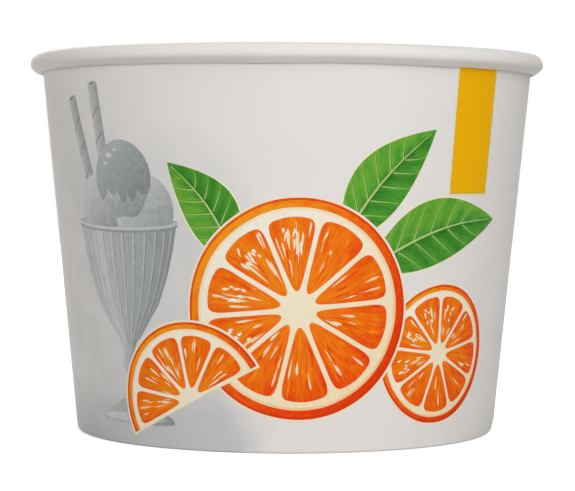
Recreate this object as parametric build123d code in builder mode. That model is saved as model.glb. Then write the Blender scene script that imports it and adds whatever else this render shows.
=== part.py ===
from build123d import *
import os
from math import atan2, cos, degrees, hypot, sin, tan

# Paper ice cream cup: a squat tub of about 350 ml, wound and folded from two blanks of coated board.
# The side wall is one fan-shaped blank, lapped and sealed into a cone. Its top edge is rolled
# outward into the rim, and its lower edge is folded in and up round the skirt of the base.
# The base is one round blank, pressed into a shallow cap that opens downward.
# Millimetres, +Z up. The origin is the middle of the foot ring, on the table.
# The side seam faces +Y, and the front of the cup faces -Y.

# Overall sizes
cup_height = 71.5
rim_diameter = 98.0
foot_diameter = 80.0

# Board, and the film of coating between two sealed faces
wall_board = 0.42
base_board = 0.40
seal_film = 0.02

# Rolled rim. Bends are measured to the middle of the board.
roll_height = 3.6
roll_overhang = 2.35
roll_widest_below_top = 1.85
crest_bend = 0.8
tuck_bend = 0.35
tuck_length = 1.1
tuck_gap = 0.15

# Foot: the pressed ring that the cup stands on, and heights above the table
foot_flat = 0.25
flap_height = 7.0
recess_depth = 9.0
base_bend = 0.9

# Side seam: the outer ply over the inner one, and the slope where it comes down beside it
lap_width = 7.0
lap_ramp = 3.0
seam_bearing = 90.0

# The wall leans outward by the taper, from the foot to the underside of the roll.
roll_bottom = cup_height - roll_height
wall_top_radius = rim_diameter / 2 - roll_overhang
taper = atan2(wall_top_radius - foot_diameter / 2, roll_bottom)
taper_degrees = degrees(taper)
up_wall = Vector(sin(taper), cos(taper))
out_of_wall = Vector(cos(taper), -sin(taper))

# The lower edge turns in and up round the skirt, with the film on both sides of it. The turn
# is two bends with the pressed ring between them.
ply_pitch = (wall_board + base_board) / 2 + seal_film
fold_bend = ply_pitch - foot_flat * cos(taper) / 2
fold_level = fold_bend + wall_board / 2
skirt_depth = wall_board / 2 + ply_pitch
flap_depth = skirt_depth + ply_pitch


def wall_point(height, depth):
    """Point of the section at a height, and at a depth behind the outside of the wall."""
    return Vector(foot_diameter / 2 + height * tan(taper) - depth / cos(taper), height)


def quarter_turn(line, along, across):
    """Turn right by 90 degrees in two arcs: so far along the line's end, and so far across it."""
    diagonal = hypot(along, across)
    turn = degrees(atan2(along, across))
    first_radius = (diagonal**2 - (across - along) * diagonal) / (2 * across)
    last_radius = (diagonal**2 + (across - along) * diagonal) / (2 * along)
    first = JernArc(line @ 1, line % 1, first_radius, turn - 90)
    return JernArc(first @ 1, first % 1, last_radius, -turn)


def ply_section(height, depth, thickness):
    """Level section of the lapped ply on a face of the wall, with its cut edge and its ramp."""
    face_radius = wall_point(height, depth).X
    lap_angle = degrees(lap_width / face_radius)
    ramp_angle = degrees(lap_ramp / face_radius)
    lap_start = seam_bearing - lap_angle / 2
    ramp_start = lap_start - ramp_angle
    root_radius = face_radius - thickness / 2
    with BuildSketch(Plane.XY.offset(height)) as section:
        with BuildLine():
            face = CenterArc((0, 0), face_radius + thickness, lap_start, lap_angle)
            root = CenterArc((0, 0), root_radius, ramp_start, lap_angle + ramp_angle)
            Line(root @ 0, face @ 0)
            Line(root @ 1, face @ 1)
        make_face()
    return section.sketch.face()


def gap_section(height):
    """Level section of the gap inside, beside the cut edge of the ply that lies underneath."""
    face_radius = wall_point(height, wall_board).X
    ramp_angle = degrees(lap_ramp / face_radius)
    gap_end = seam_bearing - degrees(lap_width / face_radius) / 2
    gap_start = gap_end - ramp_angle
    with BuildSketch(Plane.XY.offset(height)) as section:
        with BuildLine():
            root = CenterArc((0, 0), face_radius - wall_board / 2, gap_start, ramp_angle)
            edge_top = Vector(face_radius + wall_board, 0).rotate(Axis.Z, gap_end)
            ramp_foot = Vector(face_radius, 0).rotate(Axis.Z, gap_start)
            Polyline(root @ 1, edge_top, ramp_foot, root @ 0)
        make_face()
    return section.sketch.face()


# Side wall: the path of the board's middle, from the top of the flap to the edge tucked in the roll
crest_level = cup_height - wall_board / 2
crest_radius = wall_point(crest_level, wall_board / 2).X + crest_bend * (1 - sin(taper)) / cos(taper)
crest_centre = Vector(crest_radius, crest_level - crest_bend)
widest_radius = rim_diameter / 2 - wall_board / 2
widest_level = cup_height - roll_widest_below_top
under_level = roll_bottom + wall_board / 2
tuck_depth = -(wall_board / 2 + tuck_gap)
under_radius = wall_point(under_level, tuck_depth).X + tuck_bend * (1 + sin(taper)) / cos(taper)
fold_start = wall_point(fold_level, flap_depth - fold_bend) - fold_bend * out_of_wall

with BuildPart() as side_wall:
    with BuildSketch(Plane.XZ):
        with BuildLine():
            flap = Line(wall_point(flap_height, flap_depth), fold_start)
            inner_fold = JernArc(flap @ 1, flap % 1, fold_bend, 90 + taper_degrees)
            foot = Line(inner_fold @ 1, inner_fold @ 1 + (foot_flat, 0))
            outer_fold = JernArc(foot @ 1, foot % 1, fold_bend, 90 - taper_degrees)
            wall = Line(outer_fold @ 1, crest_centre - crest_bend * out_of_wall)
            crest = JernArc(wall @ 1, wall % 1, crest_bend, taper_degrees - 90)
            shoulder = quarter_turn(crest, widest_radius - crest_radius, crest_level - widest_level)
            underside = quarter_turn(shoulder, widest_level - under_level, widest_radius - under_radius)
            tuck = JernArc(underside @ 1, underside % 1, tuck_bend, -(90 + taper_degrees))
            Line(tuck @ 1, tuck @ 1 + tuck_length * up_wall)
        trace(line_width=wall_board)
    revolve(axis=Axis.Z)

    # Outer ply of the lapped side seam, from the foot to the roll
    ply_ends = (wall_board / 2, under_level)
    loft([ply_section(height, 0, wall_board) for height in ply_ends], ruled=True)

    # The same ply on the flap, where the fold has turned it to the inside
    flap_face = flap_depth + wall_board / 2
    flap_ends = (fold_level, flap_height)
    loft([ply_section(height, flap_face, -wall_board) for height in flap_ends], ruled=True)

    # Gap inside, beside the cut edge of the inner ply
    gap_ends = (fold_level, (wall @ 1).Y)
    loft([gap_section(height) for height in gap_ends], ruled=True, mode=Mode.SUBTRACT)

# Base: a flat disc with a skirt that hangs between the wall and the flap
disc_level = recess_depth + base_board / 2
bend_level = disc_level - base_bend
disc_radius = wall_point(bend_level, skirt_depth).X - base_bend / cos(taper)

with BuildPart() as base_disc:
    with BuildSketch(Plane.XZ):
        with BuildLine():
            disc = Line((0, disc_level), (disc_radius, disc_level))
            bend = JernArc(disc @ 1, disc % 1, base_bend, -(90 + taper_degrees))
            Line(bend @ 1, wall_point(fold_level, skirt_depth))
        trace(line_width=base_board)
    revolve(axis=Axis.Z)

side_wall.part.label = "side_wall"
base_disc.part.label = "base_disc"

os.makedirs("parts", exist_ok=True)
export_step(side_wall.part, "parts/side_wall.step")
export_step(base_disc.part, "parts/base_disc.step")
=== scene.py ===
"""Paper ice cream cup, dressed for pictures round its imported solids.

Metres, +Z up. The cup stands on z = 0 round the origin, its front faces -Y and its side seam +Y.
The board pieces follow the same section as the solids, with the small unevenness of wound and
rolled board. The print is a set of thin films of ink that lie on the wall.
"""

import random
from functools import partial
from math import asin, atan2, ceil, copysign, cos, degrees, exp, hypot, pi, radians, sin, sqrt, tan

import bmesh
import bpy
from mathutils import Matrix, Vector, noise
from mathutils.geometry import delaunay_2d_cdt


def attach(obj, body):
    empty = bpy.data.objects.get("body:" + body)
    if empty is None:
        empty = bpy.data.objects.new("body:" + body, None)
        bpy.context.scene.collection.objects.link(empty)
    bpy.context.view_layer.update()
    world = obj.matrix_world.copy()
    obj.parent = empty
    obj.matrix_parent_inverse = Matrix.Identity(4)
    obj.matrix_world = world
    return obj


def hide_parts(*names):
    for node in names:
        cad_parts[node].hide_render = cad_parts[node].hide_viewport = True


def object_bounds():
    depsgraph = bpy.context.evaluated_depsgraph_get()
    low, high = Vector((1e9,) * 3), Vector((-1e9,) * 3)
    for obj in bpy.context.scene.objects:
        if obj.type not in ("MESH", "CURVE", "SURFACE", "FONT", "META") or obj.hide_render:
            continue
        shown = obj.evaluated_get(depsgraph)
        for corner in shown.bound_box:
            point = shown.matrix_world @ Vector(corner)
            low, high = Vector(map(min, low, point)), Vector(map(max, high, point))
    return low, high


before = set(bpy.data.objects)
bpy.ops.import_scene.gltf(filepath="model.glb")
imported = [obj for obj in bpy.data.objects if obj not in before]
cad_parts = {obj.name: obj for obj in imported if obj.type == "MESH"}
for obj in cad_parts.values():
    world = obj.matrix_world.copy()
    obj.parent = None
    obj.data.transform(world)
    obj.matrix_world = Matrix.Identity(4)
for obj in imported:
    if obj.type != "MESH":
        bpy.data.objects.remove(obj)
cad_low, cad_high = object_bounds()

bl_info = {
    "name": "Paper Ice Cream Cup",
    "version": (1, 0, 0),
    "blender": (4, 5, 0),
    "location": "3D View > Sidebar > Cup",
    "description": "Builds a printed paper ice cream cup with a rolled rim and a lapped side seam",
    "category": "Add Mesh",
}

MM = 0.001
BODY = "root"
SEAM_BEARING = radians(90)
FRONT_BEARING = radians(-90)

# Faces that turn by more than this many degrees meet at a sharp edge
BOARD_CREASE = 38
FILM_CREASE = 40

# Points of a board's mesh that lie as close as this are one point
WELD_DISTANCE = 0.002 * MM

# Millimetres: points of a printed outline this close are one, and how far apart the points lie
# that let a film follow the round wall
MERGE_DISTANCE = 0.004
FILM_SPACING = 1.25

# A Mix node's colour sockets: factor, first colour, second colour, and the result
MIX_FACTOR, MIX_FIRST, MIX_SECOND, MIX_RESULT = 0, 6, 7, 2

# Degrees from the front, and how many millimetres the rolled rim's underside is lifted there
ROLL_LIFT = (
    (-180, 0.0), (-120, -0.06), (-90, 0.02), (-55, 0.20), (-33, 0.22), (-8, 0.04),
    (14, 0.17), (41, -0.04), (70, -0.10), (90, -0.05), (130, 0.05), (180, 0.0),
)


def length(name, description, default):
    """A length in metres that the panel shows in the scene's own unit."""
    return bpy.props.FloatProperty(
        name=name, description=description, default=default,
        min=0.0, precision=5, subtype="DISTANCE", unit="LENGTH",
    )


def tint(name, description, default):
    """A colour that the panel shows as a swatch, in linear values."""
    return bpy.props.FloatVectorProperty(
        name=name, description=description, default=default,
        size=3, min=0.0, max=1.0, subtype="COLOR",
    )


def angle(name, description, default):
    """An angle, whose default is given here in degrees."""
    return bpy.props.FloatProperty(
        name=name, description=description, default=radians(default),
        subtype="ANGLE", unit="ROTATION",
    )


def factor(name, description, default, high=1.0):
    """A plain number from nothing to a highest value."""
    return bpy.props.FloatProperty(
        name=name, description=description, default=default, min=0.0, max=high
    )


class CupSizes(bpy.types.PropertyGroup):
    """Sizes of the two blanks as they stand in the finished cup."""

    height: length("Height", "From the table to the top of the rolled rim", cad_high.z)
    rim_diameter: length("Rim diameter", "Widest place of the rolled rim", cad_high.y - cad_low.y)
    foot_diameter: length("Foot diameter", "Outside of the wall at the table", 80 * MM)
    wall_board: length("Wall board", "Thickness of the printed board", 0.42 * MM)
    base_board: length("Base board", "Thickness of the plain board", 0.40 * MM)
    seal_film: length("Seal film", "Coating between two sealed faces", 0.02 * MM)
    roll_height: length("Roll height", "From the top of the rim to its underside", 3.6 * MM)
    roll_overhang: length("Roll overhang", "How far the rim stands out from the wall", 2.35 * MM)
    roll_widest: length("Widest below top", "Depth of the rim's widest place", 1.85 * MM)
    crest_bend: length("Crest bend", "Bend at the top of the wall", 0.8 * MM)
    tuck_bend: length("Tuck bend", "Bend where the edge turns up into the roll", 0.22 * MM)
    tuck_length: length("Tuck length", "Length of the edge inside the roll", 1.1 * MM)
    tuck_gap: length("Tuck gap", "Clearance of the tucked edge from the wall", 0.01 * MM)
    slope_turn: angle("Slope turn", "Bend from the rim's side to its sloping underside", 55)
    foot_flat: length("Foot flat", "Width of the pressed ring under the foot", 0.25 * MM)
    flap_height: length("Flap height", "Top of the flap inside the foot", 7.0 * MM)
    recess_depth: length("Recess depth", "From the table to the base's underside", 9.0 * MM)
    base_bend: length("Base bend", "Bend between the base and its skirt", 0.9 * MM)
    lap_width: length("Lap width", "Width of the sealed side seam", 7.0 * MM)
    lap_ramp: length("Lap ramp", "Width of the slope beside the seam", 3.0 * MM)


class BoardFinish(bpy.types.PropertyGroup):
    """Look of the bare board, and the unevenness that winding and rolling leave in it."""

    coated: tint("Coated board", "White of the coated faces", (0.778, 0.752, 0.728))
    core: tint("Board core", "Cut edges of the board", (0.70, 0.66, 0.60))
    wash: tint("Wash", "Pale grey print on the left of the front", (0.545, 0.560, 0.560))
    gloss: factor("Roughness", "Roughness of the coating", 0.46)
    wall_swell: length("Wall swell", "How far the wall swells and sinks", 0.035 * MM)
    roll_swell: length("Roll swell", "How far the underside of the rim wanders", 0.06 * MM)
    roll_bulge: length("Roll bulge", "Extra fullness under the rim on the left", 0.40 * MM)
    foot_dent: length("Foot dent", "How far the foot is rounded at the sides", 0.45 * MM)


class PrintDesign(bpy.types.PropertyGroup):
    """Places, sizes and inks of the print."""

    film: length("Ink film", "How far the lowest film stands out from the wall", 0.03 * MM)
    outline: tint("Outline", "Cream outline round the fruit and leaves", (0.86, 0.80, 0.62))
    rind: tint("Rind", "Deep orange of the rind", (0.770, 0.045, 0.002))
    flesh: tint("Flesh", "Middle orange of the fruit's flesh", (0.840, 0.120, 0.003))
    flesh_light: tint("Light flesh", "Yellow orange of lit flesh", (0.890, 0.310, 0.008))
    pith: tint("Pith", "Pale layer under the rind", (0.87, 0.74, 0.48))
    glint: tint("Glint", "Small lights on the fruit", (0.90, 0.86, 0.76))
    leaf: tint("Leaf", "Middle green of the leaves", (0.070, 0.300, 0.030))
    leaf_light: tint("Light leaf", "Yellow green of lit leaves", (0.200, 0.440, 0.040))
    leaf_dark: tint("Dark leaf", "Deep green near the midrib", (0.020, 0.150, 0.012))
    tab: tint("Tab", "Golden yellow of the plain tab", (0.870, 0.440, 0.000))
    tab_edge: tint("Tab edge", "Pale border of the tab", (0.830, 0.740, 0.400))
    tab_line: tint("Tab line", "Thin darker line inside the border", (0.600, 0.370, 0.030))
    grey_light: tint("Light grey", "Lit side of the grey print", (0.630, 0.645, 0.640))
    grey_middle: tint("Middle grey", "Body of the grey print", (0.415, 0.440, 0.442))
    grey_dark: tint("Dark grey", "Shaded side of the grey print", (0.255, 0.275, 0.278))


class StudioSetup(bpy.types.PropertyGroup):
    """Floor, lamps and camera."""

    key: factor("Key lamp", "Power of the soft box in front", 5.37, 100.0)
    high: factor("High lamp", "Power of the soft box above, on the right", 2.8, 100.0)
    side: factor("Side lamp", "Power of the soft box on the left", 1.88, 100.0)
    top: factor("Top lamp", "Power of the soft box overhead", 1.6, 100.0)
    back: factor("Back lamp", "Power of the soft box behind the cup", 4.8, 100.0)
    side_colour: tint("Side colour", "Light of the soft box on the left", (1.0, 0.975, 0.93))
    ambient: factor("Ambient", "Even light from all round", 0.06, 4.0)
    distance: length("Camera distance", "From the cup's axis to the camera", 411.5 * MM)
    level: length("Camera level", "Height of the camera above the table", 49.8 * MM)
    aside: length("Camera aside", "How far the camera stands to the right", 0.285 * MM)
    pitch: angle("Camera pitch", "How far the camera looks down", degrees(0.0357))
    roll: angle("Camera roll", "How far the camera leans to the left", degrees(0.0052))
    lens: bpy.props.FloatProperty(
        name="Lens", description="Focal length", default=133.36, min=1.0, unit="CAMERA"
    )


class Wire:
    """One value in a material. An expression on wires adds the Math nodes that work it out."""

    def __init__(self, finish, socket):
        self.finish = finish
        self.socket = socket

    def maths(self, operation, *others):
        return self.finish.maths(operation, self, *others)

    def __add__(self, other):
        return self.maths("ADD", other)

    def __sub__(self, other):
        return self.maths("SUBTRACT", other)

    def __mul__(self, other):
        return self.maths("MULTIPLY", other)

    def __truediv__(self, other):
        return self.maths("DIVIDE", other)

    def __pow__(self, other):
        return self.maths("POWER", other)

    def __rsub__(self, other):
        return self.finish.maths("SUBTRACT", other, self)

    __radd__ = __add__
    __rmul__ = __mul__

    def step(self, low, high):
        """From 0 at the low value to 1 at the high one, eased at both ends."""
        return self.finish.node(
            "MapRange",
            {"Value": self, "From Min": low, "From Max": high},
            interpolation_type="SMOOTHSTEP",
        )

    def step_degrees(self, low, high):
        """The same for an angle, between two values in degrees."""
        return self.step(radians(low), radians(high))

    def part(self, name):
        """Another output of the node that this wire comes from."""
        return Wire(self.finish, self.socket.node.outputs[name])


class Finish:
    """A material or a world while its nodes are being added."""

    def __init__(self, owner):
        owner.use_nodes = True
        self.owner = owner
        self.tree = owner.node_tree
        self.tree.nodes.clear()

    def node(self, kind, sockets=None, output=0, **settings):
        """Adds a node, makes its settings, then sets or links its sockets. Gives one output."""
        made = self.tree.nodes.new("ShaderNode" + kind)
        for name, value in settings.items():
            setattr(made, name, value)
        for name, value in (sockets or {}).items():
            if isinstance(value, Wire):
                self.tree.links.new(value.socket, made.inputs[name])
            else:
                made.inputs[name].default_value = value
        return Wire(self, made.outputs[output]) if made.outputs else None

    def maths(self, operation, *values):
        return self.node("Math", dict(enumerate(values)), operation=operation)

    def ramp(self, share, colours):
        """The colour at a share of the way from the first of the colours to the last."""
        made = self.node("ValToRGB", {"Fac": share})
        stops = made.socket.node.color_ramp.elements
        while len(stops) < len(colours):
            stops.new(0.5)
        for number, (stop, colour) in enumerate(zip(stops, colours)):
            stop.position = number / (len(colours) - 1)
            stop.color = (*colour, 1.0)
        return made

    @staticmethod
    def colour(value):
        return value if isinstance(value, Wire) else (*value, 1.0)

    def mix(self, share, first, second):
        """One colour turned towards another by a share."""
        pair = {MIX_FIRST: self.colour(first), MIX_SECOND: self.colour(second)}
        return self.node("Mix", {MIX_FACTOR: share, **pair}, MIX_RESULT, data_type="RGBA")

    def speckle(self, place, size, detail=2.0, distortion=0.0):
        """Noise from 0 to 1 whose blotches are about one size across."""
        return self.node(
            "TexNoise",
            {"Vector": place, "Scale": 1.0 / size, "Detail": detail, "Distortion": distortion},
        )

    def finish(self, colour, roughness, bump=None, specular=0.2):
        """Ends the material as coated board or ink, with an optional bump."""
        sockets = {
            "Base Color": self.colour(colour),
            "Roughness": roughness,
            "Specular IOR Level": specular,
        }
        if bump is not None:
            height, depth = bump
            sockets["Normal"] = self.node("Bump", {"Height": height, "Distance": depth})
        board = self.node("BsdfPrincipled", sockets)
        self.node("OutputMaterial", {"Surface": board})
        return self.owner


def left_of(way):
    """A direction turned by 90 degrees to its left."""
    return Vector((-way.y, way.x))


def spread(low, high, steps):
    """Evenly spaced values, from the low one to the high one."""
    return [low + (high - low) * step / steps for step in range(steps + 1)]


class BoardPath:
    """The middle of a board in section, walked from one cut edge to the other."""

    def __init__(self, part, place, heading):
        self.place = Vector(place)
        self.heading = heading
        self.stations = []
        self.mark(part)

    def ahead(self):
        return Vector((cos(self.heading), sin(self.heading)))

    def mark(self, part):
        self.stations.append((part, self.place.copy(), left_of(self.ahead())))

    def straight(self, part, length, steps):
        start = self.place
        for gone in spread(0, length, steps)[1:]:
            self.place = start + self.ahead() * gone
            self.mark(part)

    def bend(self, part, radius, turn, steps):
        """An arc that turns left by an angle, or right where the angle is negative."""
        heading = self.heading
        centre = self.place + left_of(self.ahead()) * copysign(radius, turn)
        arm = self.place - centre
        for turned in spread(0, turn, steps)[1:]:
            self.place = centre + Matrix.Rotation(turned, 2) @ arm
            self.heading = heading + turned
            self.mark(part)

    def quarter_turn(self, part, along, across, steps):
        """Turns right by 90 degrees in two arcs, to so far along the heading and across it."""
        diagonal = hypot(along, across)
        turn = atan2(along, across)
        first = (diagonal**2 - (across - along) * diagonal) / (2 * across)
        last = (diagonal**2 + (across - along) * diagonal) / (2 * along)
        self.bend(part, first, turn - pi / 2, steps)
        self.bend(part, last, -turn, steps)

    def bend_onto_circle(self, part, centre, radius, turn, steps):
        """Turns right by an angle, then runs straight until it meets a smaller circle."""
        right = -left_of(self.ahead())
        after_right = Matrix.Rotation(-turn, 2) @ right
        landing = centre - after_right * radius
        gap = landing - self.place
        bend_radius = gap.dot(after_right) / (right.dot(after_right) - 1)
        bend_end = self.place + (right - after_right) * bend_radius
        self.bend(part, bend_radius, -turn, steps)
        self.straight(part, (landing - bend_end).length, 3)

    def outline(self, thickness):
        """Corners round the board's section: part, face, place and the way out of the face."""
        half = thickness / 2
        left = [(part, "left", place + way * half, way) for part, place, way in self.stations]
        right = [(part, "right", place - way * half, -way) for part, place, way in self.stations]
        return left + right[::-1]


class CupForm:
    """Radii, levels and directions of the cup's section, worked out from its sizes."""

    def __init__(self, sizes, finish):
        self.sizes = sizes
        self.finish = finish
        self.roll_bottom = sizes.height - sizes.roll_height
        self.foot_radius = sizes.foot_diameter / 2
        top_radius = sizes.rim_diameter / 2 - sizes.roll_overhang
        self.taper = atan2(top_radius - self.foot_radius, self.roll_bottom)
        self.out_of_wall = Vector((cos(self.taper), -sin(self.taper)))
        self.ply_pitch = (sizes.wall_board + sizes.base_board) / 2 + sizes.seal_film
        self.fold_bend = self.ply_pitch - sizes.foot_flat * cos(self.taper) / 2
        self.fold_level = self.fold_bend + sizes.wall_board / 2
        self.skirt_depth = sizes.wall_board / 2 + self.ply_pitch

    def radius(self, height):
        """Radius of the wall's outside at a height."""
        return self.foot_radius + height * tan(self.taper)

    def wall_point(self, height, depth):
        return Vector((self.radius(height) - depth / cos(self.taper), height))

    def swell(self, bearing, height):
        """How far the wall stands out from its true cone, as wound board does."""
        return self.finish.wall_swell * round_noise(bearing, 2.2, height / (26 * MM))

    def ply_rise(self, column, edge):
        """Rise at a column beside the seam, from 0 to 1: up the ramp, and down at a cut edge."""
        arc, _, past_edge = column
        if arc > edge or (arc == edge and past_edge):
            return 0.0
        sizes = self.sizes
        return ease((arc + sizes.lap_width / 2 + sizes.lap_ramp) / sizes.lap_ramp)

    def wall_path(self):
        sizes = self.sizes
        half = sizes.wall_board / 2
        crest_level = sizes.height - half
        lean = (1 - sin(self.taper)) / cos(self.taper)
        crest_radius = self.wall_point(crest_level, half).x + sizes.crest_bend * lean
        crest_centre = Vector((crest_radius, crest_level - sizes.crest_bend))
        widest_radius = sizes.rim_diameter / 2 - half
        widest_level = sizes.height - sizes.roll_widest
        under_level = self.roll_bottom + half
        tuck_lean = (1 + sin(self.taper)) / cos(self.taper)
        tuck_wall = self.wall_point(under_level, -(half + sizes.tuck_gap)).x
        under_radius = tuck_wall + sizes.tuck_bend * tuck_lean
        flap_depth = self.skirt_depth + self.ply_pitch
        flap_top = self.wall_point(sizes.flap_height, flap_depth)
        fold_middle = self.wall_point(self.fold_level, flap_depth - self.fold_bend)
        fold_start = fold_middle - self.fold_bend * self.out_of_wall
        full_turn = pi / 2 + self.taper
        part_turn = pi / 2 - self.taper

        path = BoardPath("flap", flap_top, -full_turn)
        path.straight("flap", (fold_start - flap_top).length, 6)
        path.bend("fold", self.fold_bend, full_turn, 8)
        path.straight("fold", sizes.foot_flat, 1)
        path.bend("fold", self.fold_bend, part_turn, 8)
        wall_end = crest_centre - sizes.crest_bend * self.out_of_wall
        path.straight("wall", (wall_end - path.place).length, 36)
        path.bend("roll", sizes.crest_bend, -part_turn, 8)
        path.quarter_turn("roll", widest_radius - crest_radius, crest_level - widest_level, 7)
        tuck_centre = Vector((under_radius, under_level + sizes.tuck_bend))
        path.bend_onto_circle("under", tuck_centre, sizes.tuck_bend, sizes.slope_turn, 9)
        path.bend("under", sizes.tuck_bend, sizes.slope_turn - full_turn - pi / 2, 7)
        path.straight("tuck", sizes.tuck_length, 3)
        return path

    def base_path(self):
        sizes = self.sizes
        disc_level = sizes.recess_depth + sizes.base_board / 2
        bend_level = disc_level - sizes.base_bend
        bend_point = self.wall_point(bend_level, self.skirt_depth)
        disc_radius = bend_point.x - sizes.base_bend / cos(self.taper)
        skirt_foot = self.wall_point(self.fold_level, self.skirt_depth)

        path = BoardPath("disc", (0.0, disc_level), 0.0)
        path.straight("disc", disc_radius, 24)
        path.bend("bend", sizes.base_bend, -(pi / 2 + self.taper), 10)
        path.straight("skirt", (skirt_foot - path.place).length, 6)
        return path


def ease(share):
    """Smooth step from 0 to 1, held at both ends."""
    share = min(max(share, 0.0), 1.0)
    return share * share * (3 - 2 * share)


def round_noise(bearing, reach, level):
    """Noise that meets itself after one turn: the reach says how often it changes on the way."""
    return noise.noise(Vector((cos(bearing) * reach, sin(bearing) * reach, level)))


def bell(value, middle, width):
    """1 at the middle value, and nearly 0 beyond the width on either side."""
    return exp(-2 * ((value - middle) / width) ** 2)


def wrapped(turn):
    """The same turn in degrees, between -180 and 180."""
    return (turn + 180) % 360 - 180


def looked_up(table, place, way=lambda share: share):
    """The value at a place between two rows of a table, which hold a place and a value."""
    for (low, first), (high, last) in zip(table, table[1:]):
        if place <= high:
            return first + (last - first) * way(max((place - low) / (high - low), 0.0))
    return table[-1][1]


def roll_lift(turn):
    """How much higher the rim's underside is at a turn from the front than its usual level."""
    return looked_up(ROLL_LIFT, wrapped(degrees(turn)), ease) * MM


def round_place(bearing, radius, height):
    return Vector((radius * cos(bearing), radius * sin(bearing), height))


def add_object(name, data):
    made = bpy.data.objects.new(name, data)
    bpy.context.scene.collection.objects.link(made)
    return made


def add_piece(name, mesh, materials, crease_degrees):
    """Links a mesh as a smooth piece that is sharp where its faces turn by more than an angle."""
    if not mesh.polygons:
        raise RuntimeError(f"{name} has no faces")
    for material in materials:
        mesh.materials.append(material)
    mesh.shade_smooth()
    mesh.set_sharp_from_angle(angle=radians(crease_degrees))
    return add_object(name, mesh)


def woven_mesh(name, rows, columns, corner, closed_rows):
    """A mesh of quads over rows and closed columns, with corners that coincide merged.

    Faces across the board's thickness get the second material.
    """
    points = [corner(row, column) for column in columns for row in rows]
    count = len(rows)
    faces = []
    slots = []
    for this in range(len(columns)):
        after = (this + 1) % len(columns)
        for row in range(count if closed_rows else count - 1):
            above = (row + 1) % count
            ring = ((this, row), (after, row), (after, above), (this, above))
            faces.append([column * count + level for column, level in ring])
            across_board = rows[row][1] != rows[above][1]
            at_lap_end = columns[this][:2] == columns[after][:2]
            slots.append(1 if across_board or at_lap_end else 0)
    mesh = bpy.data.meshes.new(name)
    mesh.from_pydata(points, [], faces)
    mesh.polygons.foreach_set("material_index", slots)
    shape = bmesh.new()
    shape.from_mesh(mesh)
    bmesh.ops.remove_doubles(shape, verts=shape.verts, dist=WELD_DISTANCE)
    bmesh.ops.recalc_face_normals(shape, faces=shape.faces)
    shape.to_mesh(mesh)
    shape.free()
    return mesh


def seam_columns(sizes):
    """Columns round the wall: close together by the seam, and even round the rest.

    Each is an arc from the seam's middle, a share of the way round the rest, and whether it is
    the second of two columns that meet at a cut edge.
    """
    edge = sizes.lap_width / 2
    foot_of_ramp = edge + sizes.lap_ramp
    beside = 5.5 * MM
    band = foot_of_ramp + beside
    arcs = {-band, band, edge}
    arcs.update(-foot_of_ramp + sizes.lap_ramp * step / 6 for step in range(7))
    arcs.update(-edge + 2 * edge * step / 7 for step in range(7))
    arcs.update(foot_of_ramp + beside * step / 4 for step in range(-5, 4))
    arcs.update(-foot_of_ramp - beside * step / 4 for step in range(1, 4))
    columns = []
    for arc in sorted(arcs):
        columns.append((arc, None, False))
        if abs(arc) == edge:
            columns.append((arc, None, True))
    steps = 340
    columns += [(band, step / steps, False) for step in range(1, steps)]
    return columns


def column_bearing(column, radius):
    arc, share, _ = column
    start = arc / radius
    if share is None:
        return SEAM_BEARING + start
    return SEAM_BEARING + start + share * (2 * pi - 2 * start)


class CupOperator(bpy.types.Operator):
    """Common start of the operators that build one kind of piece."""

    bl_options = {"REGISTER", "UNDO"}

    def form(self, context):
        scene = context.scene
        return CupForm(scene.cup_sizes, scene.board_finish)


def board_material(name, form, washed):
    """Satin coated board, nearly white and faintly cloudy. The washed one is printed outside."""
    finish = form.finish
    board = Finish(bpy.data.materials.new(name))
    place = board.node("TexCoord", output="Object")
    cloud = board.speckle(place, 9 * MM)
    fibre = board.speckle(place, 0.45 * MM, detail=4.0)
    greyer = scaled(finish.coated, 0.985)
    colour = board.mix(cloud.step(0.25, 0.75) * 0.6, finish.coated, greyer)
    relief = cloud + fibre * 0.5
    if washed:
        split = board.node("SeparateXYZ", {"Vector": place})
        across, depth, height = split.part("X"), split.part("Y"), split.part("Z")
        round_front = across.maths("ARCTAN2", depth * -1.0)
        outside = ((across * across + depth * depth) ** 0.5) - height * tan(form.taper)
        where = (round_front, outside, height)
        colour = washed_colour(board, place, colour, where, form)
        relief = relief + pressed_ribs(where, form)
    relief_depth = 0.012 * MM
    roughness = finish.gloss + cloud * 0.05 + fibre * 0.04
    return board.finish(colour, roughness, (relief, relief_depth), specular=0.08)


def core_material(finish):
    """Cut edge of the board: uncoated fibre in thin layers."""
    core = bpy.data.materials.get("board_core")
    if core:
        return core
    edge = Finish(bpy.data.materials.new("board_core"))
    place = edge.node("TexCoord", output="Object")
    fibre = edge.speckle(place, 0.25 * MM, detail=4.0)
    colour = edge.mix(fibre.step(0.3, 0.7), scaled(finish.core, 0.86), finish.core)
    return edge.finish(colour, 0.8 + fibre * 0.1, (fibre, 0.03 * MM), specular=0.1)


def pressed_ribs(where, form):
    """Upright ribs that the sealing wheel presses into the flap inside the foot."""
    round_front, outside, height = where
    flap_face = form.foot_radius - form.skirt_depth - form.ply_pitch - form.sizes.wall_board / 2
    on_flap = 1 - outside.step(flap_face + 0.10 * MM, flap_face + 0.15 * MM)
    ends = height.step(1.4 * MM, 1.8 * MM) * (1 - height.step(6.2 * MM, 6.6 * MM))
    ribs, depth = 168, 6.0
    return on_flap * ends * (round_front * ribs).maths("SINE").step(-0.6, 0.6) * depth


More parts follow.
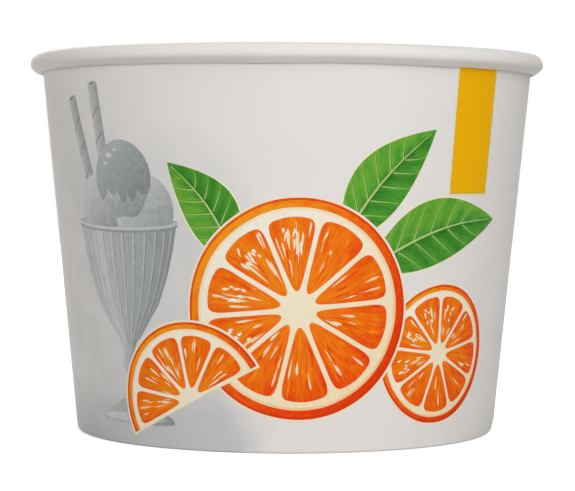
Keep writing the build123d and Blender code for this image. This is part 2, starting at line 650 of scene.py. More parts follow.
def washed_colour(board, place, colour, where, form):
    """Soft grey print on the outside of the wall, left of the front: mist above, ground below."""
    round_front, outside, height = where
    streaks_a_radian, streak_length = 36.0, 9 * MM
    on_wall = outside.step(form.foot_radius - 0.25 * MM, form.foot_radius - 0.15 * MM)
    on_wall = on_wall * (1 - height.step(form.roll_bottom - 0.2 * MM, form.roll_bottom))
    brush = board.speckle(place, 9 * MM, detail=5.0, distortion=0.7)
    grain = board.speckle(place, 0.7 * MM, detail=3.0)
    upright = {"X": round_front * streaks_a_radian, "Z": height / streak_length}
    streak = board.speckle(board.node("CombineXYZ", upright), 1.0, detail=4.0, distortion=0.3)
    edge = round_front + (brush - 0.5) * 0.5
    right_end = 1 - edge.step_degrees(-19, -1)
    ridge = height + (brush - 0.5) * (24 * MM) + round_front * (8 * MM)
    mist = edge.step_degrees(-74, -46) * right_end
    mist = mist * (1 - ridge.step(38 * MM, 57 * MM)) * (0.22 + brush * 0.55)
    top = height + (streak - 0.5) * (9 * MM) + (brush - 0.5) * (12 * MM)
    ground = round_front.step_degrees(-128, -92) * right_end
    ground = ground * (1 - top.step(4 * MM, 13 * MM)) * (0.25 + streak * 0.75)
    share = (mist + ground) * on_wall * (0.8 + grain * 0.4)
    return board.mix(share.maths("MINIMUM", 1.0), colour, form.finish.wash)


def seam_shift(form, row, column):
    """How far a corner beside the seam moves out and up, because one ply lies over the other."""
    part, face, place, way = row
    board = form.sizes.wall_board
    edge = form.sizes.lap_width / 2
    if part in ("wall", "fold") and place.y > 0:
        rise = 0.0
        if face == "right":
            rise = form.ply_rise(column, edge)
        elif part == "wall":
            rise = form.ply_rise(column, -edge)
        above_fold = ease((place.y - 0.1 * MM) / (0.7 * MM))
        below_roll = 1 - ease((place.y - form.roll_bottom - 1.2 * MM) / (1.2 * MM))
        return form.out_of_wall * (rise * (above_fold * below_roll) * board)
    if part == "flap" and face == "right":
        return Vector((-form.ply_rise(column, edge) * board, 0.0))
    if part in ("roll", "under") and face == "left":
        arc = column[0]
        over_seam = ease((arc + 6 * MM) / (3 * MM)) * (1 - ease((arc - 2.5 * MM) / (2 * MM)))
        raised = 0.10 * MM
        return way * (over_seam * raised)
    return Vector((0.0, 0.0))


def roll_shift(form, row, bearing, turn, height):
    """How far a corner of the roll moves out and up from the even roll."""
    part, face, _, way = row
    sizes, finish = form.sizes, form.finish
    drop = (sizes.height - sizes.roll_widest - height) / (sizes.roll_height / 2)
    drop = min(max(drop, 0.0), 1.0)
    wander = round_noise(bearing, 5, 3.1)
    ripple = round_noise(bearing, 14, 8.7)
    up = drop * (finish.roll_swell * (0.6 * wander + ripple) + roll_lift(turn))
    out = 0.03 * MM * wander * (1 - drop)
    if part == "under":
        outward = way if face == "left" else -way
        on_left = bell(turn, radians(-86), 0.55)
        fuller = finish.roll_bulge * on_left * bell(drop, 0.72, 0.5)
        out += outward.x * fuller
        up += outward.y * fuller
    return out, up


def foot_rounding(turn, height):
    """Share of the foot's dent at a turn from the front and a height."""
    on_right = bell(turn, radians(80), 0.35)
    on_left = 0.35 * bell(turn, radians(-74), 0.5)
    return (on_right + on_left) * max(0.0, 1 - height / (2.6 * MM)) ** 2


def wall_corner(form, row, column):
    """A corner of the wall's board, with the seam's plies and the unevenness of wound board."""
    part, _, place, _ = row
    bearing = column_bearing(column, place.x)
    turn = bearing - FRONT_BEARING
    turn = atan2(sin(turn), cos(turn))
    radius, height = place
    if column[1] is None:
        shift = seam_shift(form, row, column)
        radius += shift.x
        height += shift.y
    radius += form.swell(bearing, height)
    if part in ("wall", "fold"):
        radius -= form.finish.foot_dent * foot_rounding(turn, height)
    if part in ("roll", "under", "tuck"):
        out, up = roll_shift(form, row, bearing, turn, height)
        radius += out
        height += up
    return round_place(bearing, radius, height)


def disc_corner(row, column):
    """A corner of the base, which sinks and swells a little inside its stiff edge."""
    radius, height = row[2]
    bearing = column[0]
    inward = 1 - ease((radius - 28 * MM) / (8 * MM))
    spot = round_place(bearing, radius, 0.0) / (14 * MM)
    height += 0.10 * MM * inward * noise.noise(spot)
    return round_place(bearing, radius, height)


class CUP_OT_side_wall(CupOperator):
    """Wind the printed blank into the wall, with its rolled rim, folded foot and lapped seam"""

    bl_idname = "cup.side_wall"
    bl_label = "Side Wall"

    def execute(self, context):
        form = self.form(context)
        rows = form.wall_path().outline(form.sizes.wall_board)
        columns = seam_columns(form.sizes)
        corner = partial(wall_corner, form)
        mesh = woven_mesh("side_wall_board", rows, columns, corner, closed_rows=True)
        board = board_material("coated_board_outside", form, washed=True)
        core = core_material(form.finish)
        piece = add_piece("side_wall_board", mesh, [board, core], BOARD_CREASE)
        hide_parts("side_wall")
        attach(piece, BODY)
        return {"FINISHED"}


class CUP_OT_base(CupOperator):
    """Press the plain blank into the recessed base"""

    bl_idname = "cup.base"
    bl_label = "Base"

    def execute(self, context):
        form = self.form(context)
        rows = form.base_path().outline(form.sizes.base_board)
        steps = 288
        columns = [(bearing, None, False) for bearing in spread(0, 2 * pi, steps)[:-1]]
        mesh = woven_mesh("base_board", rows, columns, disc_corner, closed_rows=False)
        board = board_material("coated_board_base", form, washed=False)
        core = core_material(form.finish)
        piece = add_piece("base_board", mesh, [board, core], BOARD_CREASE)
        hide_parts("base_disc")
        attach(piece, BODY)
        return {"FINISHED"}


class Motif:
    """Shapes of print in millimetres round a point of the wall, each over those before it."""

    def __init__(self, turn_degrees, height, layer):
        self.turn = radians(turn_degrees)
        self.height = height
        self.layer = layer
        self.shapes = []

    def add(self, ink, outline, tone=0.0, brush=lambda point: point):
        """Lays a shape. Its tone, from -1 to 1, is one number or depends on the point. Its brush
        gives where a point lies in the grain of the ink, so that strokes can follow the shape.
        """
        if signed_area(outline) < 0:
            outline = outline[::-1]
        self.shapes.append((ink, outline, tone, brush))


def signed_area(outline):
    pairs = zip(outline, outline[1:] + outline[:1])
    return sum(a.x * b.y - b.x * a.y for a, b in pairs) / 2


def polar(centre, radius, turn):
    """The point so far from a centre, at a turn in degrees."""
    turn = radians(turn)
    return centre + Vector((radius * cos(turn), radius * sin(turn)))


def disc_outline(centre, radius, spacing=0.5, wobble=0.0, phase=0.0):
    """A circle whose radius may wander a little, as a drawn one does."""
    count = max(12, round(2 * pi * radius / spacing))
    outline = []
    for turn in spread(0, 360, count)[:-1]:
        near = Vector((cos(radians(turn)), sin(radians(turn)), phase))
        outline.append(polar(centre, radius + wobble * noise.noise(near * 2.3), turn))
    return outline


def rounded(outline, passes=2):
    """A closed outline with its corners cut, once a pass."""
    for _ in range(passes):
        smoother = []
        for this, after in zip(outline, outline[1:] + outline[:1]):
            smoother.append(this.lerp(after, 0.25))
            smoother.append(this.lerp(after, 0.75))
        outline = smoother
    return outline


def filled_in(outline, spacing=0.9):
    """The same outline with long sides divided, so that it can follow the round wall."""
    points = []
    for this, after in zip(outline, outline[1:] + outline[:1]):
        count = max(1, ceil((after - this).length / spacing))
        points += [this.lerp(after, share) for share in spread(0, 1, count)[:-1]]
    return points


def ribbon(path, widths):
    """A band along a path, as wide at each of its points as the widths say."""
    left = []
    right = []
    for number, (point, width) in enumerate(zip(path, widths)):
        before = path[max(number - 1, 0)]
        after = path[min(number + 1, len(path) - 1)]
        side = left_of((after - before).normalized()) * (width / 2)
        left.append(point + side)
        right.append(point - side)
    return left + right[::-1]


def stroke(start, end, width):
    """A thin drop of ink, pointed at its start and fuller towards its end."""
    path = [start + (end - start) * share for share in (0.0, 0.25, 0.6, 0.85, 1.0)]
    widths = [width * share for share in (0.03, 0.45, 1.0, 0.85, 0.15)]
    return rounded(ribbon(path, widths), 1)


def lit_from_above_left(centre, radius):
    """Tone that falls from the upper left of a round shape to its lower right."""
    return lambda point: (point - centre).dot(Vector((-0.7, 0.7))) / radius


def add_wheel(motif, radius, segments, turn, seed, arc=360):
    """A cut citrus fruit: rind, pith and segments with pulp, as a whole wheel or part of one."""
    centre = Vector((0, 0))
    chance = random.Random(seed)
    lit = lit_from_above_left(centre, radius)
    line = 0.42

    def around(point):
        """Grain that runs round the rind."""
        return Vector((atan2(point.y, point.x) * radius * 0.45, point.length * 1.3))

    def outward(point):
        """Grain that runs from the middle to the rind."""
        return Vector((atan2(point.y, point.x) * radius * 0.9, point.length * 0.28 + seed))

    def ring(ring_radius, shift=0.0):
        """The fruit's edge at a radius. The cut side of a part is shifted, to show its outline."""
        if arc == 360:
            return disc_outline(centre, ring_radius, wobble=0.12, phase=seed)
        count = max(8, round(radians(arc) * ring_radius / 0.5))
        edge = [polar(centre, ring_radius, place) for place in spread(turn, turn + arc, count)]
        lift = polar(centre, shift, turn + arc / 2)
        return filled_in([edge[0] + lift] + edge[1:-1] + [edge[-1] + lift])

    motif.add("outline", ring(radius + line, -line))
    motif.add("rind", ring(radius), lambda p: lit(p) * 0.5 - 0.5, around)
    motif.add("rind", ring(radius - line, -0.02), lambda p: lit(p) * 0.8 + 0.25, around)
    motif.add("pith", ring(radius * 0.915, -0.04), lambda p: lit(p) * 0.5 - 0.3, around)
    motif.add("pith", ring(radius * 0.89, -0.06), lambda p: lit(p) * 0.5 + 0.35, outward)
    share = arc / segments
    half = share / 2
    for number in range(segments):
        middle = turn + share * (number + 0.5)
        outer = radius * (0.815 + 0.02 * chance.random())
        gap = radius * 0.022

        def at(distance, side):
            """A point of the segment: side is -1 or 1 on its walls and 0 on its middle."""
            swing = half - degrees(asin(min(gap / distance, 0.9)))
            return polar(centre, distance, middle + swing * side)

        def flesh_tone(point, middle=middle, outer=outer):
            """Light along the segment's middle, and darker at its walls and under the rind."""
            side = wrapped(degrees(atan2(point.y, point.x)) - middle) / half
            depth = point.length / outer
            return 0.34 * lit(point) + 0.30 - 0.75 * side * side - 0.45 * depth**3

        start = radius * 0.085 + gap / sin(radians(half))
        wall = [(start * 1.25, 0.9)]
        wall += [(distance, 1) for distance in spread(start, outer * 0.9, 4)[1:]]
        wall += [(outer, 0.86), (outer * 1.015, 0.4)]
        wedge = [at(start, 0.0)] + [at(distance, -side) for distance, side in wall]
        wedge += [at(outer * 1.02, 0.0)] + [at(distance, side) for distance, side in wall[::-1]]
        motif.add("flesh", rounded(wedge), flesh_tone, outward)
        for _ in range(round(9 + radius * 0.9)):
            side = chance.uniform(-0.82, 0.82)
            near = chance.uniform(0.24, 0.66) * radius
            far = min(near + chance.uniform(0.10, 0.24) * radius, outer * 0.965)
            width = chance.uniform(0.22, 0.5) * (0.6 + 0.4 * near / radius) * radius / 14
            lift = chance.uniform(-0.75, 0.95) + 0.3 * lit(at(near, side))
            ink = "flesh_glow" if lift > 0.55 else "flesh"
            drop = stroke(at(near, side), at(far, side * 1.02), width)
            motif.add(ink, drop, lift, outward)
        if arc == 360 and abs(wrapped(middle - 135)) < 75:
            for _ in range(7):
                spot = at(chance.uniform(0.46, 0.70) * radius, chance.uniform(-0.55, 0.55))
                long = chance.uniform(0.04, 0.10) * radius
                tip = polar(spot, long, middle + chance.uniform(-25, 25))
                motif.add("glint", stroke(spot, tip, chance.uniform(0.018, 0.032) * radius))


class Leaf:
    """A leaf between two points, bowed to one side, with places in it by share and side."""

    VEIN_SHARES = 8.0
    VEIN_SLANT = 0.15

    def __init__(self, base, tip, width, bend):
        self.base, self.width, self.bend = base, width, bend
        self.along = tip - base
        self.across = left_of(self.along).normalized()

    def half_width(self, share):
        if not 0 < share < 1:
            return 0.0
        return self.width / 2 * sin(pi * share**0.82) ** 0.9

    def at(self, share, side):
        bow = self.bend * sin(pi * min(max(share, 0.0), 1.0))
        return self.base + self.along * share + self.across * (bow + side * self.half_width(share))

    def place_of(self, point):
        """Share and side of a point."""
        arm = point - self.base
        share = min(max(arm.dot(self.along) / self.along.length_squared, 0.001), 0.999)
        off = arm.dot(self.across) - self.bend * sin(pi * share)
        return share, min(max(off / max(self.half_width(share), 0.3), -1.2), 1.2)

    def vein_phase(self, share, side):
        """A number that grows by one from each pair of veins to the next."""
        return self.VEIN_SHARES * (share - self.VEIN_SLANT * abs(side)) + 0.15

    def tone(self, point):
        """Swollen between the veins, dark beside the midrib, and lighter on the upper side."""
        share, side = self.place_of(point)
        swelling = cos(2 * pi * self.vein_phase(share, side))
        beside_rib = exp(-((side / 0.16) ** 2))
        upper = 0.22 if side > 0 else -0.42
        return upper - 0.30 * swelling - 0.5 * beside_rib + 0.25 * abs(side)

    def brush(self, point):
        """Grain that runs along the veins."""
        share, side = self.place_of(point)
        return Vector((self.vein_phase(share, side) * 2.2, side * self.width * 0.16))

    def edge(self, side):
        """Closed outline at so many half widths from the midrib."""
        steps = max(12, round(self.along.length / 0.8))
        shares = spread(0, 1, steps)
        upper = [self.at(share, side) for share in shares]
        return upper + [self.at(share, -side) for share in shares[-2:0:-1]]

    def vein(self, share, side):
        """Path of a vein that leaves the midrib at a share of its length."""
        ends = [0.03 + end for end in spread(0, min(0.9, 6.0 * (0.92 - share)), 5)]
        return [self.at(share + self.VEIN_SLANT * end, end * side) for end in ends]


def add_leaf(motif, base, tip, width, bend):
    """A leaf with its outline, midrib and veins."""
    leaf = Leaf(Vector(base), Vector(tip), width, bend)
    motif.add("outline", leaf.edge(1 + 0.72 / width))
    motif.add("leaf", leaf.edge(1), leaf.tone, leaf.brush)
    widths = [0.20, 0.18, 0.15, 0.12, 0.09, 0.04]
    shadow_widths = [width * 1.5 for width in widths]
    for number in range(6):
        for side in (1, -1):
            path = leaf.vein((number + 0.35) / leaf.VEIN_SHARES, side)
            shadow = [point - leaf.across * (0.16 * side) for point in path]
            motif.add("leaf", ribbon(shadow, shadow_widths), -0.8, leaf.brush)
            motif.add("vein", ribbon(path, widths), 0.1)
    rib = [leaf.at(share, 0.0) for share in spread(0, 1, 20)[:-1]]
    shadow = [point - leaf.across * 0.22 for point in rib]
    widths = [0.52 - 0.022 * number for number in range(len(rib))]
    motif.add("leaf", ribbon(shadow, widths), -1.0, leaf.brush)
    motif.add("vein", ribbon(rib, widths), 0.3)


def mirrored(half):
    """A closed outline from the right half of an upright shape, given from foot to top."""
    right = [Vector(point) for point in half]
    return right + [Vector((-point.x, point.y)) for point in reversed(right) if point.x > 0.01]


# Right half of the printed glass's parts in millimetres, from foot to top
BOWL = (
    (1.3, 17.5), (2.0, 19.0), (4.6, 22.0), (7.6, 26.0), (9.8, 31.0), (11.4, 36.0), (12.3, 40.5),
)
STEM = (
    (2.1, 8.0), (1.25, 9.6), (1.0, 12.0), (1.15, 13.6), (2.3, 14.6), (2.3, 15.4), (1.2, 16.4),
    (1.6, 18.4),
)
FOOT = ((9.0, 4.0), (9.5, 4.9), (8.4, 5.9), (4.4, 7.3), (1.9, 8.8))


def bowl_half_width(height):
    return looked_up([(y, x) for x, y in BOWL], height)


def oval(x, y, wide, high):
    flat = disc_outline(Vector((0, 0)), wide, 0.6)
    return [Vector((x, y)) + Vector((point.x, point.y * high / wide)) for point in flat]


def add_wafer(lay, foot, lean, long):
    """A rolled wafer stick that leans out of the glass, with the line of its winding."""
    turned = Matrix.Rotation(lean, 2)
    wide = 1.35

    def at(x, y):
        return foot + turned @ Vector((x, y))

    def upright(point):
        return turned.inverted() @ (point - foot)

    levels = spread(0, long, 12)
    stick = [at(wide, y) for y in levels] + [at(-wide, y) for y in reversed(levels)]
    lay(stick, lambda p: 0.15 - 0.55 * upright(p).x / wide, upright)
    for level in spread(0, long, 6)[1:-1]:
        path = [at(-wide * 0.98, level - 1.5), at(0, level - 0.3), at(wide * 0.98, level + 0.5)]
        lay(ribbon(path, [0.25, 0.3, 0.2]), -0.95)
    for oval_wide, high, tone in ((wide, 0.5, 0.5), (wide * 0.6, 0.28, -0.9)):
        lay([at(*point) for point in oval(0, long, oval_wide, high)], tone)


def add_scoop(lay, x, y, radius, seed):
    """A scoop with a ragged skirt, light from the upper left."""
    centre = Vector((x, y))
    chance = random.Random(seed)
    lit = lit_from_above_left(centre, radius)
    skirt = []
    steps = 46
    for step, turn in enumerate(spread(0, 360, steps)[:-1]):
        low = max(0.0, -sin(radians(turn)) - 0.35)
        ragged = radius * (1 + low * (0.16 + 0.10 * sin(step * 0.95 + seed)))
        skirt.append(polar(centre, ragged, turn))
    lay(rounded(skirt, 1), lambda p: 0.95 * lit(p) + 0.25)
    for _ in range(26):
        spot = polar(centre, radius * 0.86 * sqrt(chance.random()), chance.uniform(0, 360))
        turn = chance.uniform(-60, 20)
        ends = [polar(spot, chance.uniform(0.3, 0.9), turn + half) for half in (0, 180)]
        tone = 0.95 * lit(spot) + 0.25 + chance.choice((-0.42, -0.34, 0.42))
        lay(stroke(*ends, 0.3), tone)


def add_sundae(motif):
    """A footed, fluted glass with three scoops, sauce and two wafer sticks, in greys."""
    lay = partial(motif.add, "grey")
    add_wafer(lay, Vector((-4.5, 37.0)), 0.30, 27.0)
    add_wafer(lay, Vector((-1.8, 38.0)), 0.13, 27.5)
    rim, wide, deep = 40.5, 12.4, 1.2
    lay(oval(0, rim, wide + 0.2, deep), lambda p: -0.55 - 0.03 * p.x)
    lay(oval(0, rim, wide - 0.3, deep - 0.4), 0.4)
    top = Vector((0.9, 48.4))
    add_scoop(lay, -5.0, 43.0, 6.4, 1)
    add_scoop(lay, 5.4, 42.8, 6.6, 2)
    add_scoop(lay, top.x, top.y, 6.6, 3)

    sauce = [polar(top, 6.8, turn) for turn in spread(-14, 194, 48)]
    for x in spread(-6.3, 6.3, 40)[1:-1]:
        drips = 2.7 * abs(sin(x * 1.25 + 1.5)) ** 0.6 * (0.8 + 0.35 * sin(x * 0.8 + 0.7))
        sauce.append(top + Vector((x, -1.7 - drips)))
    dome = lit_from_above_left(top + Vector((0, 0.9)), 6.8)
    lay(rounded(sauce), lambda p: 0.7 * dome(p) - 0.42)
    for x, y, size in ((-2.9, 4.0, 0.9), (-3.9, 2.6, 0.45), (-1.3, 5.0, 0.5)):
        lay(oval(top.x + x, top.y + y, size, size * 0.55), 1.0)

    half_round = spread(0, pi, 40)
    lip = [Vector((-wide * cos(turn), rim - deep * sin(turn))) for turn in half_round]
    right_lip = lip[len(lip) // 2 :]
    glass = rounded(filled_in(mirrored([*BOWL[:-1], *reversed(right_lip)]), 1.2), 1)

    def glass_tone(point):
        side = point.x / max(bowl_half_width(point.y), 0.6)
        return 0.05 - 0.68 * side + 0.45 * exp(-(((side + 0.55) / 0.2) ** 2)) - 0.4 * side**4

    lay(glass, glass_tone, lambda p: Vector((p.x * 1.4, p.y * 0.4)))
    flute_foot, steps = 19.5, 9
    for number in range(-5, 6):
        round_bowl = 1.35 * number / 5.6
        levels = spread(flute_foot, rim - deep * cos(round_bowl), steps)
        path = [Vector((bowl_half_width(y) * sin(round_bowl), y)) for y in levels]
        shadow = [point + Vector((0.28, 0)) for point in path]
        widths = spread(0.14, 0.40, steps)
        lay(ribbon(shadow, widths), lambda p: glass_tone(p) - 0.55)
        lay(ribbon(path, widths), lambda p: glass_tone(p) + 0.65)
    for drop, width, tone in ((0.42, 0.5, -0.6), (0.0, 0.55, 0.75)):
        path = [point - Vector((0, drop)) for point in lip]
        lay(ribbon(path, [width] * len(path)), lambda p, tone=tone: tone - 0.03 * p.x)

    lay(rounded(mirrored(STEM)), lambda p: 0.1 - 0.35 * p.x)
    lay(filled_in(rounded(mirrored(FOOT))), lambda p: -0.1 - 0.07 * p.x)
    lay(oval(0, 5.2, 8.2, 0.8), lambda p: 0.5 - 0.08 * p.x)


def add_tab(motif):
    """A plain upright tab with a pale border and a thin line inside it, a little wider above."""
    top, top_half, bottom, bottom_half, lean = 11.7, 5.29, -10.95, 5.00, 0.07
    for ink, grow in (("tab_edge", 0.40), ("tab_line", 0.05), ("tab", -0.14)):
        corners = (
            (-bottom_half - grow - lean, bottom - grow),
            (bottom_half + grow - lean, bottom - grow),
            (top_half + grow + lean, top),
            (-top_half - grow + lean, top),
        )
        motif.add(ink, filled_in([Vector(pair) for pair in corners]))


def print_motifs():
    """The motifs of the print by name. A motif in a higher layer lies over the lower ones."""
    motifs = {
        "print_tab": Motif(47.35, 56.6, 0),
        "print_sundae": Motif(-42, 0.0, 0),
        "print_leaves": Motif(12, 36.0, 1),
        "print_small_wheel": Motif(41, 17.0, 2),
        "print_large_wheel": Motif(3, 25.5, 3),
        "print_half_wheel": Motif(-24, 9.0, 4),
    }
    add_tab(motifs["print_tab"])
    add_sundae(motifs["print_sundae"])
    add_leaf(motifs["print_leaves"], (1, 2), (18.5, 21), 10.5, 1.6)
    add_leaf(motifs["print_leaves"], (6, -3), (36, 5), 11.5, 2.4)
    add_leaf(motifs["print_leaves"], (-18, -2), (-31, 15), 9.5, -1.6)
    add_wheel(motifs["print_small_wheel"], 12.5, segments=9, turn=12, seed=21)
    add_wheel(motifs["print_large_wheel"], 19.5, segments=10, turn=5, seed=11)
    add_wheel(motifs["print_half_wheel"], 14.0, segments=5, turn=28, seed=31, arc=180)
    return motifs


def film_mesh(name, motif, form, design):
    """A closed film of ink that follows the wall, and its inks in the order of its material slots.

    The shapes are cut into triangles in the plane, each of the last shape that covers it, and
    laid on the wall. Tone and grain are kept at each corner of a face, so that inks meet sharply.
    """
    points = []
    loops = []
    for _, outline, _, _ in motif.shapes:
        loops.append(list(range(len(points), len(points) + len(outline))))
        points += outline
    low = Vector([min(values) for values in zip(*points)])
    high = Vector([max(values) for values in zip(*points)])
    for row in range(1, int((high.y - low.y) / FILM_SPACING) + 1):
        for column in range(1, int((high.x - low.x) / FILM_SPACING) + 1):
            stagger = 0.5 * (row % 2)
            points.append(low + Vector((column + stagger - 0.5, row - 0.35)) * FILM_SPACING)
    flat, _, triangles, _, _, sources = delaunay_2d_cdt(points, [], loops, 1, MERGE_DISTANCE, True)
    inks = sorted({shape[0] for shape in motif.shapes})
    kept = [(t, motif.shapes[max(s)]) for t, s in zip(triangles, sources) if s]
    used = sorted({corner for triangle, _ in kept for corner in triangle})
    place = {corner: number for number, corner in enumerate(used)}

    def on_wall(point, stand_off):
        height = (motif.height + point.y * cos(form.taper)) * MM
        radius = form.radius(height)
        bearing = FRONT_BEARING + motif.turn + point.x * MM / radius
        radius += form.swell(bearing, height) + stand_off
        return round_place(bearing, radius, height)

    # The outer face first, and then the one that lies hidden in the board
    stand_offs = (design.film * (1 + 0.5 * motif.layer), -design.film)
    corners = [on_wall(flat[corner], stand_off) for stand_off in stand_offs for corner in used]
    count = len(used)
    faces, slots, tones, brushes = [], [], [], []
    rim = {}

    def lay(face_corners, shape):
        ink, _, tone, brush = shape
        faces.append(face_corners)
        slots.append(inks.index(ink))
        for corner in face_corners:
            point = flat[used[corner % count]]
            tones.append(tone(point) if callable(tone) else tone)
            brushes.extend((*brush(point), 0.0))

    for triangle, shape in kept:
        a, b, c = (place[corner] for corner in triangle)
        lay((a, b, c), shape)
        lay((c + count, b + count, a + count), shape)
        rim.update({(a, b): shape, (b, c): shape, (c, a): shape})
    for (first, last), shape in rim.items():
        if (last, first) not in rim:
            lay((last, first, first + count, last + count), shape)
    mesh = bpy.data.meshes.new(name)
    mesh.from_pydata(corners, [], faces)
    mesh.polygons.foreach_set("material_index", slots)
    tone = mesh.attributes.new("brush_tone", "FLOAT", "CORNER")
    tone.data.foreach_set("value", tones)
    grain = mesh.attributes.new("brush_place", "FLOAT_VECTOR", "CORNER")
    grain.data.foreach_set("vector", brushes)
    return mesh, inks


def ink_material(name, colours, grain, contrast):
    """Printed ink: tones from dark to light, mottled by a brush along the shape's own grain."""
    ink = Finish(bpy.data.materials.new(name))
    place = ink.node("Attribute", output="Vector", attribute_name="brush_place")
    tone = ink.node("Attribute", output="Fac", attribute_name="brush_tone")
    blotch = ink.speckle(place, grain * 3.5, detail=3.0, distortion=0.5)
    speck = ink.speckle(place, grain, detail=3.0)
    mottle = (blotch - 0.5) * 1.2 + (speck - 0.5) * 0.9
    share = (0.5 + tone * 0.5 + mottle * contrast).maths("MINIMUM", 1.0).maths("MAXIMUM", 0.0)
    return ink.finish(ink.ramp(share, colours), 0.5 + speck * 0.06, specular=0.06)


def scaled(colour, share):
    return [min(value * share, 1.0) for value in colour]


def blended(first, second, share):
    return [a + (b - a) * share for a, b in zip(first, second)]


def ink_materials(design):
    """One material for each ink: colours from dark to light, size of the grain, and contrast."""
    deep_pith = blended(design.pith, design.flesh_light, 0.5)
    middle_flesh = blended(design.flesh, design.flesh_light, 0.5)
    glow = blended(design.flesh_light, design.pith, 0.6)
    rind_tones = [scaled(design.rind, 0.82), design.rind, design.flesh, design.flesh_light]
    flesh_tones = [design.rind, design.flesh, middle_flesh, design.flesh_light]
    pale_vein = blended(design.leaf_light, design.pith, 0.6)
    inks = {
        "outline": ([scaled(design.outline, 0.9), design.outline], 0.5, 0.5),
        "rind": (rind_tones, 0.3, 0.55),
        "pith": ([deep_pith, design.pith, design.glint], 0.4, 0.5),
        "flesh": (flesh_tones, 0.35, 0.8),
        "flesh_glow": ([design.flesh_light, glow, design.pith], 0.3, 0.7),
        "glint": ([design.pith, design.glint], 0.4, 0.4),
        "leaf": ([design.leaf_dark, design.leaf, design.leaf_light], 0.35, 0.55),
        "vein": ([design.leaf_light, pale_vein], 0.4, 0.4),
        "tab": ([scaled(design.tab, 0.98), scaled(design.tab, 1.02)], 1.2, 0.3),
        "tab_line": ([scaled(design.tab_line, 0.9), scaled(design.tab_line, 1.1)], 0.8, 0.5),
        "tab_edge": ([scaled(design.tab_edge, 0.95), design.tab_edge], 0.8, 0.5),
        "grey": ([design.grey_dark, design.grey_middle, design.grey_light], 0.4, 0.45),
    }
    return {ink: ink_material("ink_" + ink, *look) for ink, look in inks.items()}


class CUP_OT_print(CupOperator):
    """Lay the films of ink on the wall"""

    bl_idname = "cup.print_films"
    bl_label = "Print"

    def execute(self, context):
        form = self.form(context)
        design = context.scene.print_design
        materials = ink_materials(design)
        for name, motif in print_motifs().items():
            mesh, inks = film_mesh(name, motif, form, design)
            piece = add_piece(name, mesh, [materials[ink] for ink in inks], FILM_CREASE)
            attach(piece, BODY)
        return {"FINISHED"}


def add_lamp(name, power, turn_degrees, rise_degrees, colour=(1.0, 1.0, 1.0)):
    """A square soft box that looks at the cup from so far round to the right and so far up."""
    away, level = 1.0, 0.04
    data = bpy.data.lights.new(name, "AREA")
    data.shape = "SQUARE"
    data.size = 0.5
    data.energy = power
    data.color = colour
    lamp = add_object(name, data)
    turn = Matrix.Rotation(radians(turn_degrees), 4, "Z")
    rise = Matrix.Rotation(radians(90 - rise_degrees), 4, "X")
    middle = Matrix.Translation((0, 0, level))
    lamp.matrix_world = middle @ turn @ rise @ Matrix.Translation((0, 0, away))


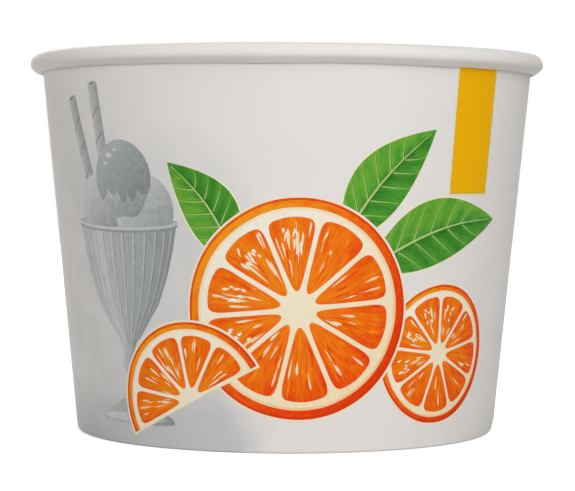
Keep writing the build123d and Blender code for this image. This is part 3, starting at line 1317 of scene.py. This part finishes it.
class CUP_OT_stage(CupOperator):
    """Set up the floor, the lamps, the white surroundings and the camera"""

    bl_idname = "cup.stage"
    bl_label = "Stage"

    def execute(self, context):
        setup = context.scene.studio_setup
        self.floor()
        self.surroundings(context.scene, setup)
        add_lamp("key_lamp", setup.key, 8, 16)
        add_lamp("high_lamp", setup.high, 35, 45)
        add_lamp("side_lamp", setup.side, -85, 14, setup.side_colour)
        add_lamp("top_lamp", setup.top, 0, 86)
        add_lamp("back_lamp", setup.back, -166, 20)
        self.camera(context.scene, setup)
        context.scene.view_settings.view_transform = "Standard"
        return {"FINISHED"}

    @staticmethod
    def seen_directly(finish):
        """1 for a ray that shows a surface to the camera, straight or through gloss or glass."""
        path = finish.node("LightPath")
        camera, glossy = path.part("Is Camera Ray"), path.part("Is Glossy Ray")
        through = path.part("Is Transmission Ray")
        return camera.maths("MAXIMUM", glossy).maths("MAXIMUM", through)

    def floor(self):
        mesh = bpy.data.meshes.new("floor")
        reach = 2.0
        corners = [(-reach, -reach, 0), (reach, -reach, 0), (reach, reach, 0), (-reach, reach, 0)]
        mesh.from_pydata(corners, [], [(0, 1, 2, 3)])
        floor = add_object("floor", mesh)
        paper = Finish(bpy.data.materials.new("floor_paper"))
        place = paper.node("TexCoord", output="Object")
        away = paper.node("VectorMath", {0: place}, "Value", operation="LENGTH")
        far = away.step(36 * MM, 75 * MM)
        matt = paper.node("BsdfDiffuse", {"Color": (0.64, 0.64, 0.64, 1)})
        glow = paper.mix(far, (0.66, 0.66, 0.66), (0.96, 0.96, 0.96))
        lift = paper.node("Emission", {"Color": glow, "Strength": self.seen_directly(paper)})
        both = paper.node("AddShader", {0: matt, 1: lift})
        paper.node("OutputMaterial", {"Surface": both})
        mesh.materials.append(paper.owner)

    def surroundings(self, scene, setup):
        scene.world = bpy.data.worlds.new("studio")
        air = Finish(scene.world)
        seen = self.seen_directly(air)
        strength = seen + (1 - seen) * setup.ambient
        light = air.node("Background", {"Color": (1, 1, 1, 1), "Strength": strength})
        air.node("OutputWorld", {"Surface": light})

    @staticmethod
    def camera(scene, setup):
        data = bpy.data.cameras.new("camera")
        data.sensor_fit = "HORIZONTAL"
        data.sensor_width = 36.0
        data.lens = setup.lens
        data.clip_start = 0.01
        camera = add_object("camera", data)
        place = Matrix.Translation((setup.aside, -setup.distance, setup.level))
        pitch = Matrix.Rotation(pi / 2 - setup.pitch, 4, "X")
        camera.matrix_world = place @ pitch @ Matrix.Rotation(setup.roll, 4, "Z")
        scene.camera = camera


class CUP_PT_cup(bpy.types.Panel):
    """Panel that lists the cup's pieces, sizes and colours"""

    bl_idname = "CUP_PT_cup"
    bl_label = "Paper Ice Cream Cup"
    bl_space_type = "VIEW_3D"
    bl_region_type = "UI"
    bl_category = "Cup"

    def draw(self, context):
        for operator in OPERATORS:
            self.layout.operator(operator.bl_idname)
        for name, group in GROUPS.items():
            box = self.layout.box()
            box.label(text=group.__name__)
            for setting in group.__annotations__:
                box.prop(getattr(context.scene, name), setting)


OPERATORS = (CUP_OT_side_wall, CUP_OT_base, CUP_OT_print, CUP_OT_stage)
GROUPS = {
    "cup_sizes": CupSizes,
    "board_finish": BoardFinish,
    "print_design": PrintDesign,
    "studio_setup": StudioSetup,
}


CLASSES = (*GROUPS.values(), *OPERATORS, CUP_PT_cup)


def register():
    for kind in CLASSES:
        bpy.utils.register_class(kind)
    for name, group in GROUPS.items():
        setattr(bpy.types.Scene, name, bpy.props.PointerProperty(type=group))


def unregister():
    for name in GROUPS:
        delattr(bpy.types.Scene, name)
    for kind in reversed(CLASSES):
        bpy.utils.unregister_class(kind)


def main():
    register()
    bpy.ops.cup.side_wall()
    bpy.ops.cup.base()
    bpy.ops.cup.print_films()
    bpy.ops.cup.stage()


if __name__ == "__main__":
    main()
